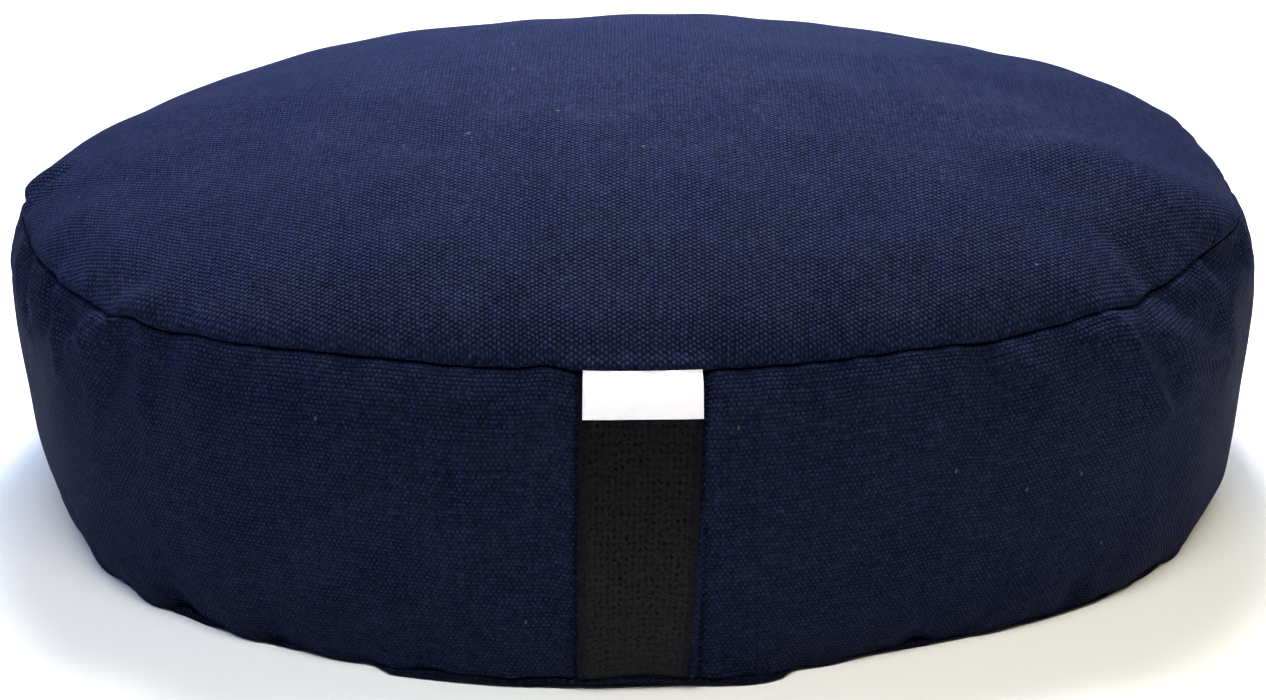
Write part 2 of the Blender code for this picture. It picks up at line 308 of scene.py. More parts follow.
class ZafuCover(bpy.types.PropertyGroup):
    """Sizes of the filled cover."""

    half_width: measure("Half width", "Middle to seam, along the oval", 225 * MM)
    half_depth: measure("Half depth", "Middle to seam, across the oval", 155 * MM)
    seam_height: measure("Seam height", "Mean height of the top seam above the floor", 114.5 * MM)
    crown_rise: measure("Crown rise", "Middle of the crown above the top seam", 48.5 * MM)
    foot_tuck: measure("Foot tuck", "How far the foot of the band is tucked under", 4.0 * MM)
    groove_depth: measure("Groove depth", "How far a seam pulls the cloth in", 2.6 * MM)
    groove_reach: measure("Groove reach", "How far from a seam the cloth is pulled in", 1.25 * MM)
    roll_over: measure("Roll over", "How far the top panel rolls down over its seam", 2.0 * MM)
    label_lip: measure("Label lip", "How far the top panel stands out over the label", 1.7 * MM)
    handle_hollow: measure("Handle hollow", "Depth of the hollows along the handle's edges", 2.6 * MM)
    pucker_height: measure("Pucker height", "Height of the puckers at the seams", 0.3 * MM)
    pucker_pitch: measure("Pucker pitch", "Usual distance from one pucker to the next", 12.0 * MM)
    lump_height: measure("Lump height", "Unevenness of the filling under the cloth", 0.45 * MM)
    cloth_swell: FloatProperty(name="Cloth swell", description="Inside pressure of the cloth trial",
                               default=4.0, min=0.0)
    cloth_ease: FloatProperty(name="Cloth ease", description="Spare cloth, as a share of its length",
                              default=0.03, min=0.0, max=0.2, subtype="FACTOR")
    cloth_move_limit: measure("Cloth move limit", "Furthest that the cloth trial moves a point", 2.0 * MM)


class ZafuHandle(bpy.types.PropertyGroup):
    """Sizes of the webbing handle."""

    width: measure("Width", "Width of the webbing", 37.4 * MM)
    wider_top: measure("Wider top", "How much wider it is spread at its top", 1.1 * MM)
    top_side: measure("Top side", "Middle of its top, to the right of the front's middle", 1.0 * MM)
    foot_side: measure("Foot side", "Middle of its foot, to the right of the front's middle", -1.0 * MM)
    foot_gather: measure("Foot gather", "How far its right edge is drawn in at its foot", 1.8 * MM)
    thickness: measure("Thickness", "Thickness of the webbing", 2.0 * MM)
    gap: measure("Gap", "Room between cloths that touch", 0.4 * MM)


class ZafuLabel(bpy.types.PropertyGroup):
    """Sizes of the folded label."""

    width: measure("Width", "Width of the ribbon", 37.0 * MM)
    length: measure("Length", "Seam to fold, along the cloth", 16.0 * MM)
    thickness: measure("Thickness", "Thickness of one layer", 0.28 * MM)
    middle: measure("Middle", "Middle of the label, to the right of the front's middle", 1.4 * MM)


class ZafuFinish(bpy.types.PropertyGroup):
    """Colours and weaves."""

    navy: tint("Navy", "Raised yarns of the duck", (0.0115, 0.0173, 0.0590))
    # Painted shade: the gaps between the yarns get a much darker colour, for the shade in them.
    navy_gap_shade: tint("Navy gap", "Gaps between the yarns", (0.0008, 0.0012, 0.0052))
    lint: tint("Lint", "Flecks of lint on the duck", (0.06, 0.065, 0.08))
    lint_chance: FloatProperty(name="Lint chance", description="Share of the floats without a fleck",
                               default=0.9999, min=0.9, max=1.0, precision=5)
    coarse_yarn: measure("Coarse yarn", "Pitch of the duck's thick yarns", 1.40 * MM)
    fine_yarn: measure("Fine yarn", "Pitch of the duck's thin yarns", 0.80 * MM)
    black: tint("Black", "Webbing yarns", (0.0066, 0.0064, 0.0073))
    black_edge: tint("Black edge", "Webbing's smooth edges", (0.0072, 0.0066, 0.0092))
    webbing_column: measure("Webbing column", "Pitch of the webbing's lengthwise yarns", 1.95 * MM)
    webbing_row: measure("Webbing row", "Pitch of the webbing's rows", 2.60 * MM)
    white: tint("White", "Satin ribbon", (0.86, 0.845, 0.89))


class ZafuStudio(bpy.types.PropertyGroup):
    """Camera and light."""

    lens: FloatProperty(name="Lens", description="Focal length on a 36 mm sensor", default=58.04,
                        unit="CAMERA")
    distance: measure("Distance", "Camera to the point it looks at", 804.3 * MM)
    elevation: FloatProperty(name="Elevation", description="Angle that the camera looks down",
                             default=math.radians(25.75), subtype="ANGLE")
    aim_height: measure("Aim height", "Height of the point that the camera looks at", 41.9 * MM)
    aim_side: measure("Aim side", "That point, to the right of the handle", -1.53 * MM)
    floor_tone: tint("Floor tone", "Pale floor", (0.98, 0.98, 0.98))


class ZafuSettings(bpy.types.PropertyGroup):
    """All that a user may change."""

    cover: PointerProperty(type=ZafuCover)
    handle: PointerProperty(type=ZafuHandle)
    label: PointerProperty(type=ZafuLabel)
    finish: PointerProperty(type=ZafuFinish)
    studio: PointerProperty(type=ZafuStudio)


# ---- curves through rows ------------------------------------------------------------------------
def through_rows(values, place, closed=False):
    """Values at places counted in rows: a Catmull-Rom curve, a cubic through every row."""
    count = len(values)
    first = np.floor(place).astype(int)
    part = (place - first).reshape(first.shape + (1,) * (values.ndim - 1))
    steps = [first + step for step in (-1, 0, 1, 2)]
    rows = [step % count if closed else np.clip(step, 0, count - 1) for step in steps]
    before, here, after, beyond = (values[row] for row in rows)
    cubic = 3 * (here - after) + beyond - before
    square = 2 * before - 5 * here + 4 * after - beyond
    return here + 0.5 * part * (after - before + part * (square + part * cubic))


def around(name, bearing):
    """A column of SECTIONS at any bearing in radians."""
    return through_rows(SECTIONS[name], np.asarray(bearing) / TURN * len(SECTIONS), closed=True)


def band_bulge(drop):
    """Level reach past the seam, mm: a cubic between two rows of BAND that keeps the slope at each."""
    drops = BAND["drop"]
    bulges = BAND["bulge"]
    slopes = np.gradient(bulges, drops)
    first = np.clip(np.searchsorted(drops, drop, side="right") - 1, 0, len(drops) - 2)
    span = drops[first + 1] - drops[first]
    part = (drop - drops[first]) / span
    upper = (1 - part) ** 2 * ((1 + 2 * part) * bulges[first] + part * span * slopes[first])
    lower = part**2 * ((3 - 2 * part) * bulges[first + 1] - (1 - part) * span * slopes[first + 1])
    return upper + lower


def run_along(points):
    """Distance down a grid of points, or along a line of them, from its first row to each row."""
    steps = np.linalg.norm(np.diff(points, axis=0), axis=-1)
    return np.concatenate([np.zeros_like(steps[:1]), np.cumsum(steps, axis=0)])


def hump(distance, reach):
    """Bell curve: 1 at zero distance, a third at the reach."""
    return np.exp(-((distance / reach) ** 2))


def plateau(distance, half_width, fade):
    """1 within the half width, then a smooth fall to 0 over the fade."""
    part = np.clip((np.abs(distance) - half_width) / fade, 0, 1)
    return 1 - part * part * (3 - 2 * part)


# ---- the plain cover ----------------------------------------------------------------------------
def seam_plan(cover, bearing):
    """Plan of the top seam, as x and y, and the level outward direction there, as x and y."""
    reach = around("plan", bearing)
    x = cover.half_width * reach * np.cos(bearing)
    y = cover.half_depth * reach * np.sin(bearing)
    step = math.radians(0.05)
    later = around("plan", bearing + step)
    along_x = cover.half_width * later * np.cos(bearing + step) - x
    along_y = cover.half_depth * later * np.sin(bearing + step) - y
    size = np.hypot(along_x, along_y)
    return x, y, along_y / size, -along_x / size


def bends(bearing):
    """Lift of the top seam by the folds that reach it, mm: a bell curve for each bend."""
    lift = np.zeros_like(bearing)
    for bend in SEAM_BENDS:
        away = (bearing - math.radians(bend["bearing"]) + math.pi) % TURN - math.pi
        lift += bend["lift"] * hump(away * SEAM_RADIUS, bend["width"])
    return lift


def base_seam(x, y):
    """For places on the plan: the base seam's height above the floor, the foot's reach, what shows.

    The share that shows goes from 0, where the seam is tucked under, to 1.
    """
    side = np.clip(x / MM, BASE_SEAM["side"][0], BASE_SEAM["side"][-1])
    first = np.clip(np.searchsorted(BASE_SEAM["side"], side, side="right") - 1, 0, len(BASE_SEAM) - 2)
    start = BASE_SEAM["side"][first]
    part = (side - start) / (BASE_SEAM["side"][first + 1] - start)
    least = BASE_SEAM["height"].min()
    height = np.where(y < 0, through_rows(BASE_SEAM["height"], first + part), least)
    out = np.where(y < 0, through_rows(BASE_SEAM["out"], first + part), 0)
    return height * MM, out * MM, np.clip((height - least) / (0.5 * least), 0, 1)


def crown_ring(cover, share, bearing):
    """Ring over the top, share 0 at the middle and 1 at the seam: a dome that ends in a steep roll."""
    x, y, _, _ = seam_plan(cover, bearing)
    dome = (1 - share ** around("fullness", bearing)) ** CROWN_EDGE_POWER
    lift = around("lift", bearing) * share**2 + bends(bearing) * share**CROWN_BEND_POWER
    z = cover.seam_height + lift * MM + cover.crown_rise * dome
    return np.stack([share * x, share * y, z], axis=-1)


def band_ring(cover, drop, bearing):
    """Ring down the side, drop 0 at the top seam and 1 at the base seam."""
    x, y, out_x, out_y = seam_plan(cover, bearing)
    bulge = band_bulge(drop) * around("puff", bearing) + around("lean", bearing) * drop
    foot_height, foot_out, shown = base_seam(x, y)
    foot = np.clip((drop - FOOT_TUCK_START) / (1 - FOOT_TUCK_START), 0, 1) ** FOOT_TUCK_POWER
    reach = bulge * MM + foot * (foot_out - cover.foot_tuck * (1 - shown))
    top = cover.seam_height + around("lift", bearing) * MM
    z = top + (foot_height - top) * drop + bends(bearing) * MM * (1 - drop) ** BAND_BEND_POWER
    return np.stack([x + out_x * reach, y + out_y * reach, z], axis=-1)


def rim_ring(cover, part, bearing):
    """Ring round the rim of the base panel, from the base seam, part 0, to the floor, part 1.

    The height falls as a quarter turn's cosine. The reach goes out as half a turn's sine, over the
    first two thirds, and in as the square of the part.
    """
    ring = band_ring(cover, 1.0, bearing)
    x, y, out_x, out_y = seam_plan(cover, bearing)
    height, _, _ = base_seam(x, y)
    reach = (RIM_SWELL * math.sin(math.pi * min(1.0, part * 1.5)) - RIM_TUCK * part**2) * MM
    height = height * math.cos(part * math.pi / 2)
    return np.stack([ring[:, 0] + out_x * reach, ring[:, 1] + out_y * reach, height], axis=-1)


def crown_shares(cover, count):
    """Shares of the crown's rows: their distances from the seam grow as a hyperbolic sine."""
    shares = 1 - np.linspace(0, 1, CROWN_LINE_STEPS) ** 3
    bearing = np.radians([CROWN_LINE_BEARING])
    run = run_along(np.array([crown_ring(cover, share, bearing)[0] for share in shares]))
    steps = np.arange(count - 1, -1, -1) / count
    wanted = run[-1] * np.sinh(CROWN_CROWDING * steps) / math.sinh(CROWN_CROWDING)
    return np.interp(wanted, run, shares)


def closer_bearings(count):
    """Bearings of the columns: evenly spaced but where CLOSER_COLUMNS sets them closer."""
    fine = np.linspace(0, TURN, AROUND_STEPS)
    density = np.ones_like(fine)
    for row in CLOSER_COLUMNS:
        density += row["times"] * hump(np.degrees(fine) - row["bearing"], row["reach"])
    run = np.concatenate([[0.0], np.cumsum((density[1:] + density[:-1]) / 2)])
    return np.interp(np.arange(count) / count * run[-1], run, fine)


class Cover:
    """Rings of the cover, and where its seams are among them.

    row_place is what a row is called, whatever the number of rows: 0 to 1 over the crown, 1 to 2 down
    the band, 2 to 3 round the rim and 3 to 4 in under the base.
    """

    def __init__(self, sizes, bearing, rows):
        crown_count, band_count, rim_count, base_count = rows
        self.sizes = sizes
        self.bearing = bearing
        shares = crown_shares(sizes, crown_count)
        even = np.linspace(0, 1, band_count + 1)[1:]
        drops = even - BAND_CROWDING * np.sin(TURN * even) / TURN
        parts = np.linspace(0, 1, rim_count + 1)[1:]
        ins = np.sinh(BASE_CROWDING * np.linspace(0, 1, base_count + 1)[1:-1]) / math.sinh(BASE_CROWDING)
        rings = [crown_ring(sizes, share, bearing) for share in shares]
        rings += [band_ring(sizes, drop, bearing) for drop in drops]
        rings += [rim_ring(sizes, part, bearing) for part in parts]
        edge = rings[-1]
        middle = edge.mean(axis=0)
        rings += [edge + (middle - edge) * step for step in ins]
        self.plain = np.stack(rings)
        self.row_place = np.concatenate([shares, 1 + drops, 2 + parts, 3 + ins])
        self.seam_row = crown_count - 1
        self.base_seam_row = self.seam_row + band_count
        self.floor_row = self.base_seam_row + rim_count

        run = run_along(self.plain)
        self.rise = run[self.seam_row] - run
        self.foot = run[self.base_seam_row] - run
        seam = self.plain[self.seam_row]
        steps = np.linalg.norm(np.roll(seam, -1, axis=0) - seam, axis=1)
        self.girth = steps.sum()
        self.place = np.concatenate([[0.0], np.cumsum(steps)[:-1]])

    def outward(self, rings):
        """Unit direction out of the cover at each point, across its neighbours in both directions."""
        along = np.roll(rings, -1, axis=1) - np.roll(rings, 1, axis=1)
        down = np.gradient(rings, axis=0)
        away = np.cross(down, along)
        return away / np.maximum(np.linalg.norm(away, axis=2, keepdims=True), TINY)

    def place_at(self, bearing_degrees):
        """Distance round the seam at a bearing."""
        return np.interp(math.radians(bearing_degrees), self.bearing, self.place)

    def nearer_way(self, distance):
        """A signed distance round the seam, taken the shorter way."""
        return (distance + self.girth / 2) % self.girth - self.girth / 2

    def folds(self, rows):
        """Height of folds, by the distance on the cloth to each one's line from start to end.

        With c that distance counted in widths, a round fold is exp(-c^2) and a sharp one exp(-c).
        """
        relief = np.zeros(self.rise.shape)
        for fold in rows:
            start = self.place_at(fold["bearing"])
            across = self.nearer_way(self.place - start)
            above = self.rise - fold["rise"] * MM
            run = self.nearer_way(self.place_at(fold["to_bearing"]) - start)
            climb = (fold["to_rise"] - fold["rise"]) * MM
            size = max(run**2 + climb**2, TINY)
            part = np.clip((across * run + above * climb) / size, 0, 1)
            away = np.hypot(across - part * run, above - part * climb) / (fold["width"] * MM)
            relief += fold["height"] * MM * np.exp(-(away ** (2 - fold["crest"])))
        return relief

    def handle_zone(self, half_width, fade):
        """1 where the handle presses the band flat, 0 away from it."""
        return plateau(self.plain[:, :, 0], half_width, fade) * (self.plain[:, :, 1] < 0)


def ripple(place, girth, pitch, draw, waves=5):
    """Uneven waves that close on themselves: sines of nearly one pitch, whose heights drift."""
    total = np.zeros_like(place)
    for _ in range(waves):
        count = round(girth / (pitch * draw.uniform(*WAVE_PITCHES)))
        slow = np.sin(TURN * place / girth * draw.integers(*WAVE_DRIFTS) + draw.uniform(0, TURN))
        drift = 1 + WAVE_DRIFT_SHARE * slow
        total += drift * np.sin(TURN * place / girth * count + draw.uniform(0, TURN))
    return total / math.sqrt(waves)


def lumps(points, draw, smallest, largest, waves=26):
    """Soft unevenness in space: flat waves in all directions, of lengths between the two sizes."""
    total = np.zeros(points.shape[:-1])
    for _ in range(waves):
        direction = draw.normal(size=3)
        direction /= np.linalg.norm(direction)
        length = math.exp(draw.uniform(math.log(smallest), math.log(largest)))
        total += np.sin(points @ direction * TURN / length + draw.uniform(0, TURN))
    return total / math.sqrt(waves)


# ---- meshes -------------------------------------------------------------------------------------
def face_corners(grid):
    """A grid's values at the four corners of each of its faces, face by face."""
    corners = [grid[:-1, :-1], grid[1:, :-1], grid[1:, 1:], grid[:-1, 1:]]
    return np.stack(corners, axis=2).reshape(-1, grid.shape[-1])


def grid_faces(rows, columns, closed=True):
    """Four-sided faces of a grid of points. In a closed one, the last column joins the first."""
    places = np.arange(rows * columns).reshape(rows, columns, 1)
    if closed:
        places = np.concatenate([places, places[:, :1]], axis=1)
    return face_corners(places).reshape(-1, 4).tolist()


def ring_faces(rings):
    """Points and faces of a body of rings, closed by a fan at each of its two middles."""
    count, size, _ = rings.shape
    points = np.vstack([rings.reshape(-1, 3), rings[0].mean(axis=0), rings[-1].mean(axis=0)])
    here = np.arange(size)
    after = (here + 1) % size
    last = (count - 1) * size
    crown_fan = np.stack([np.full(size, count * size), here, after], axis=-1)
    base_fan = np.stack([np.full(size, count * size + 1), last + after, last + here], axis=-1)
    return points, grid_faces(count, size) + crown_fan.tolist() + base_fan.tolist()


def put_object(name, points, faces, corner_uv=None):
    """Smooth mesh object from points, faces and a place on the cloth for each face corner."""
    mesh = bpy.data.meshes.new(name)
    mesh.from_pydata(points.tolist(), [], faces)
    if corner_uv is not None:
        layer = mesh.uv_layers.new(name="cloth")
        layer.data.foreach_set("uv", corner_uv.astype(np.float32).ravel())
    mesh.shade_smooth()
    obj = bpy.data.objects.new(name, mesh)
    bpy.context.scene.collection.objects.link(obj)
    return obj


# ---- cloth trial --------------------------------------------------------------------------------
def cloth_trial(trial, start):
    """Where the cover's cloth settles when it is swollen from inside with its seams held.

    The cloth is a little longer than the shape it starts from, so it wrinkles away from the seams.
    """
    points, faces = ring_faces(start)
    obj = put_object("cloth_trial", points, faces)
    size = start.shape[1]
    held_rows = [trial.seam_row, *range(trial.base_seam_row, len(start))]
    held = [row * size + col for row in held_rows for col in range(size)]
    held.append(len(points) - 1)
    obj.vertex_groups.new(name="held").add(held, 1.0, "REPLACE")

    cloth = obj.modifiers.new("cloth", "CLOTH")
    cloth.settings.quality = 6
    cloth.settings.mass = 0.2
    cloth.settings.tension_stiffness = 25
    cloth.settings.compression_stiffness = 25
    cloth.settings.shear_stiffness = 8
    cloth.settings.bending_stiffness = 0.12
    cloth.settings.use_pressure = True
    cloth.settings.uniform_pressure_force = trial.sizes.cloth_swell
    cloth.settings.shrink_min = -trial.sizes.cloth_ease
    cloth.settings.vertex_group_mass = "held"
    cloth.settings.effector_weights.gravity = 0
    cloth.collision_settings.use_collision = False
    cloth.point_cache.frame_start = 1
    cloth.point_cache.frame_end = TRIAL_FRAMES
    scene = bpy.context.scene
    for step in range(1, TRIAL_FRAMES + 1):
        scene.frame_set(step)
    settled = obj.evaluated_get(bpy.context.evaluated_depsgraph_get()).to_mesh()
    flat = np.empty(3 * len(points))
    settled.vertices.foreach_get("co", flat)
    mesh = obj.data
    bpy.data.objects.remove(obj)
    bpy.data.meshes.remove(mesh)
    scene.frame_set(1)
    return flat.reshape(-1, 3)[: size * len(start)].reshape(start.shape)


def smooth_around(values, reach):
    """Values averaged with their neighbours round the cover: a bell curve with a reach in columns."""
    weights = hump(np.arange(-2 * reach, 2 * reach + 1), reach)
    weights /= weights.sum()
    return sum(w * np.roll(values, k - 2 * reach, axis=1) for k, w in enumerate(weights))


def cloth_wrinkles(cover, sizes):
    """Outward move of each point of the cover from the cloth trial, without its even swelling."""
    even = np.linspace(0, TURN, TRIAL_POINTS_AROUND, endpoint=False)
    trial = Cover(sizes, even, TRIAL_ROWS)
    out = trial.outward(trial.plain)
    start = trial.plain + out * trial.folds(MAIN_FOLDS)[:, :, None]
    start[trial.floor_row :] = trial.plain[trial.floor_row :]
    settled = cloth_trial(trial, start)
    move = ((settled - start) * out).sum(axis=2)
    wrinkle = move - smooth_around(move, SWELLING_COLUMNS)
    limit = sizes.cloth_move_limit
    wrinkle = limit * np.tanh(wrinkle / limit)
    rows = np.interp(cover.row_place, trial.row_place, np.arange(len(trial.row_place)))
    columns = cover.bearing / TURN * TRIAL_POINTS_AROUND
    return through_rows(through_rows(wrinkle, rows).T.copy(), columns, closed=True).T


# ---- the finished cover -------------------------------------------------------------------------
def handle_middle(handle, part):
    """Where the handle's middle is, to the right of the front's, at a share of its length."""
    return handle.top_side + (handle.foot_side - handle.top_side) * part


def foot_gather(handle, part):
    """How far the handle's right edge is drawn in at a share of its length: more towards its foot."""
    return handle.foot_gather * np.clip((part - GATHER_START) / (1 - GATHER_START), 0, 1) ** GATHER_POWER


def beside_handle(cover, sizes, handle):
    """Depth of the hollows along the handle's two edges: bell curves that ease off down the band."""
    side = cover.plain[:, :, 0]
    front = (cover.rise < 0) & (cover.plain[:, :, 1] < 0)
    part = np.clip(-cover.rise / HANDLE_RUN, 0, 1)
    upper = np.exp(cover.rise / HANDLE_HOLLOW_FADE)
    shares = {name: low + more * upper for name, (low, more) in HOLLOW_SHARES.items()}
    reach = HANDLE_HOLLOW_REACH * shares["reach"]
    middle = handle_middle(handle, part)
    edge = handle.width / 2 + HANDLE_HOLLOW_AWAY
    left = hump(side - middle + edge, reach) * shares["left"]
    right_edge = middle + edge + RIGHT_HOLLOW_AWAY * upper - foot_gather(handle, part)
    right = hump(side - right_edge, reach) * shares["right"]
    return sizes.handle_hollow * (left + right) * front


def finished_rings(cover, sizes, handle):
    """Rings of the finished cover, from the plain ones. None goes below the floor.

    Along the outward direction go the main folds, the cloth trial's wrinkles, the lumps of the
    filling, puckers that fade away from both seams, the tuck and the hollows beside the handle. The
    seams pull in as bell curves, wider on the crown, and the top panel rolls down over its seam.
    """
    draw = np.random.default_rng(SEED)
    plain = cover.plain
    out = cover.outward(plain)
    down = np.gradient(plain, axis=0)
    down /= np.maximum(np.linalg.norm(down, axis=2, keepdims=True), TINY)
    rise = cover.rise
    on_crown = rise > 0
    under_seam = rise < 0
    above = np.maximum(rise, 0)

    relief = cover.folds(MAIN_FOLDS)
    crown_share = CROWN_WRINKLES * np.exp(-above / CROWN_WRINKLE_REACH)
    relief += cloth_wrinkles(cover, sizes) * np.where(on_crown, crown_share, BAND_WRINKLES)
    relief += sizes.lump_height * lumps(plain, draw, *LUMP_LENGTHS)
    from_seam = (above, np.maximum(-rise, 0), np.maximum(cover.foot, 0))
    for pucker, away, where in zip(PUCKERS, from_seam, (on_crown, under_seam, under_seam)):
        waves = ripple(cover.place, cover.girth, sizes.pucker_pitch * pucker["pitch"], draw)
        fade = np.exp(-away / (pucker["fade"] * MM))
        relief += sizes.pucker_height * pucker["height"] * waves * where * fade
    relief *= 1 - cover.handle_zone(PRESSED_HALF_WIDTH, ZONE_FADE) * under_seam
    relief += cover.folds(TUCK)
    relief -= beside_handle(cover, sizes, handle)

    reach = sizes.groove_reach
    relief -= sizes.groove_depth * hump(rise, np.where(on_crown, CROWN_GROOVE_WIDER * reach, reach))
    _, _, shown = base_seam(plain[cover.seam_row, :, 0], plain[cover.seam_row, :, 1])
    relief -= BASE_GROOVE_DEPTH * hump(cover.foot, reach) * shown
    lip_rise = hump(above - LIP_RISE, LIP_REACH) * on_crown
    relief += sizes.label_lip * lip_rise * cover.handle_zone(LIP_HALF_WIDTH, ZONE_FADE)
    below_seam = np.arange(len(plain) - cover.base_seam_row - 1)
    rim_fade = plateau(below_seam, 0, cover.floor_row - cover.base_seam_row - 1)
    relief[cover.base_seam_row + 1 :] *= rim_fade[:, None]

    lip = above / ROLL_RISE
    roll = sizes.roll_over * lip * np.exp(1 - lip)
    rings = plain + out * relief[:, :, None] + down * roll[:, :, None]
    rings[cover.floor_row :, :, 2] = 0
    rings[:, :, 2] = np.maximum(rings[:, :, 2], 0)
    return rings


def cover_uv(cover):
    """Place on the cloth for each corner of each face, metres: first across the thick yarns.

    Crown: distance along the cloth from the middle, in the plan's direction. Band: distance down the
    cloth, and distance round the seam. Base: place on the plan.
    """
    plain = cover.plain
    size = plain.shape[1]
    wrapped = np.append(np.arange(size), 0)
    middle = plain[0].mean(axis=0)
    run = np.linalg.norm(plain[0] - middle, axis=1) + run_along(plain)
    level = plain[:, :, :2] - middle[:2]
    crown = (run[:, :, None] * level / np.linalg.norm(level, axis=2, keepdims=True))[:, wrapped]
    down = -cover.rise[:, wrapped]
    place = np.append(cover.place, cover.girth)
    band = np.stack([down, np.broadcast_to(place, down.shape)], axis=-1)
    base = plain[:, wrapped, :2]

    def fan(row, order):
        corner = [np.zeros((size, 2)), row[:-1], row[1:]]
        return np.stack([corner[k] for k in order], axis=1).reshape(-1, 2)

    return np.vstack([
        face_corners(crown[: cover.seam_row + 1]),
        face_corners(band[cover.seam_row : cover.base_seam_row + 1]),
        face_corners(base[cover.base_seam_row :]),
        fan(crown[0], (0, 1, 2)),
        fan(base[-1], (0, 2, 1)),
    ])


# ---- strips on the front ------------------------------------------------------------------------
FRONT_BEARINGS = np.radians(np.linspace(250, 290, 321))
# The handle's rows, the drops of the first and the last, and the columns of its flat faces.
HANDLE_ROWS = 110
HANDLE_DROPS = (0.012, 0.992)
HANDLE_COLUMNS = 34
# How it dips into the two seams: how deep, and the reach along it.
TOP_DIP = 2.4 * MM
TOP_DIP_REACH = 2.4 * MM
FOOT_DIP = 2.0 * MM
FOOT_DIP_REACH = 3.0 * MM
# Points round each of its rounded edges, both ends counted.
EDGE_POINTS = 7
# The label's rows on each side of its fold, their drops, and its columns, one of which is its middle.
LABEL_ROWS = 34
LABEL_DROPS = (0.004, 0.118)
LABEL_COLUMNS = 33
LABEL_MIDDLE = 16
# Room behind it and between its layers, and how it dips into the seam: how deep, and the reach.
LABEL_ROOM = 0.35 * MM
LAYER_ROOM = 0.12 * MM
LABEL_DIP = 2.0 * MM
LABEL_DIP_REACH = 3.4 * MM
# Its fold: degrees to each side of the lowest point, and how many points.
FOLD_TURN = 60
FOLD_POINTS = 5
# Bearings and drops at which the plain cover is measured, to centre it in the frame.
BOX_BEARINGS = 128
BOX_DROPS = 16


def front_points(cover, across, drops):
    """Points on the plain band at the front, for rows of places across it and the drop of each row."""
    points = []
    for row, drop in zip(across, drops):
        line = band_ring(cover, drop, FRONT_BEARINGS)
        y = np.interp(row, line[:, 0], line[:, 1])
        z = np.interp(row, line[:, 0], line[:, 2])
        points.append(np.stack([row, y, z], axis=-1))
    return np.stack(points)


def front_frame(cover, across, drops):
    """Points on the plain band at the front, and the outward direction at each."""
    points = front_points(cover, across, drops)
    right = front_points(cover, across + MM, drops) - front_points(cover, across - MM, drops)
    down = np.gradient(points, axis=0)
    out = np.cross(down, right)
    return points, out / np.linalg.norm(out, axis=2, keepdims=True)


def cloth_grid(across, run):
    """Place on a strip's cloth for a grid of points: across it, and along the run of its rows."""
    return np.stack(np.broadcast_arrays(across[None, :], run[:, None]), axis=-1)


def strip_faces(rows, columns):
    """Faces of a strip whose cross-section is a closed ring of columns, with its two ends capped."""
    ring = np.arange(columns)
    return grid_faces(rows, columns) + [ring[::-1].tolist(), ((rows - 1) * columns + ring).tolist()]


def strip_section(width, thickness, count):
    """Closed cross-section with rounded edges: distance across, and distance out from its back."""
    turn = np.linspace(0, math.pi, EDGE_POINTS)[1:-1]
    half = thickness / 2
    flat = np.linspace(-0.5, 0.5, count) * (width - thickness)
    edge = width / 2 - half + half * np.sin(turn)
    down = half * np.cos(turn)
    across = np.concatenate([flat, edge, flat[::-1], -edge])
    height = np.concatenate([np.full(count, thickness), half + down, np.zeros(count), half - down])
    return across, height


class ZAFU_OT_cover(bpy.types.Operator):
    """Add the filled cover with its seams, folds, wrinkles and puckers."""

    bl_idname = "zafu.add_cover"
    bl_label = "Add Cover"

    def execute(self, context):
        settings = context.scene.zafu
        sizes = settings.cover
        cover = Cover(sizes, closer_bearings(POINTS_AROUND), ROWS)
        rings = finished_rings(cover, sizes, settings.handle)
        points, faces = ring_faces(rings + shift(sizes))
        obj = put_object("duck_cover", points, faces, cover_uv(cover))
        obj.data.materials.append(duck_material(settings.finish))
        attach(obj, BODY)
        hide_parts("cushion")
        return {"FINISHED"}


class ZAFU_OT_handle(bpy.types.Operator):
    """Add the webbing handle down the middle of the front."""

    bl_idname = "zafu.add_handle"
    bl_label = "Add Handle"

    def execute(self, context):
        settings = context.scene.zafu
        handle = settings.handle
        drops = np.linspace(*HANDLE_DROPS, HANDLE_ROWS)
        across, height = strip_section(handle.width, handle.thickness, HANDLE_COLUMNS)
        part = drops[:, None]
        wider = 1 + handle.wider_top / handle.width * (1 - part) ** 2
        drawn_in = foot_gather(handle, part) * np.maximum(across, 0) / (0.5 * handle.width)
        side = handle_middle(handle, part) + wider * across - drawn_in
        points, out = front_frame(settings.cover, side, drops)
        run = run_along(points[:, 0])
        top_dip = TOP_DIP * hump(part * FRONT_RUN, TOP_DIP_REACH)
        foot_dip = FOOT_DIP * hump(run[-1] - run[:, None], FOOT_DIP_REACH)
        grid = points + out * (handle.gap + height - top_dip - foot_dip)[:, :, None]
        place = cloth_grid(np.append(across, across[0]), run)
        uv = np.vstack([face_corners(place), place[0, :-1][::-1], place[-1, :-1]])
        obj = put_object("webbing_handle", grid.reshape(-1, 3) + shift(settings.cover),
                         strip_faces(HANDLE_ROWS, len(across)), uv)
        obj.data.materials.append(webbing_material(settings.finish, handle))
        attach(obj, BODY)
        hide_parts("handle_strap")
        return {"FINISHED"}


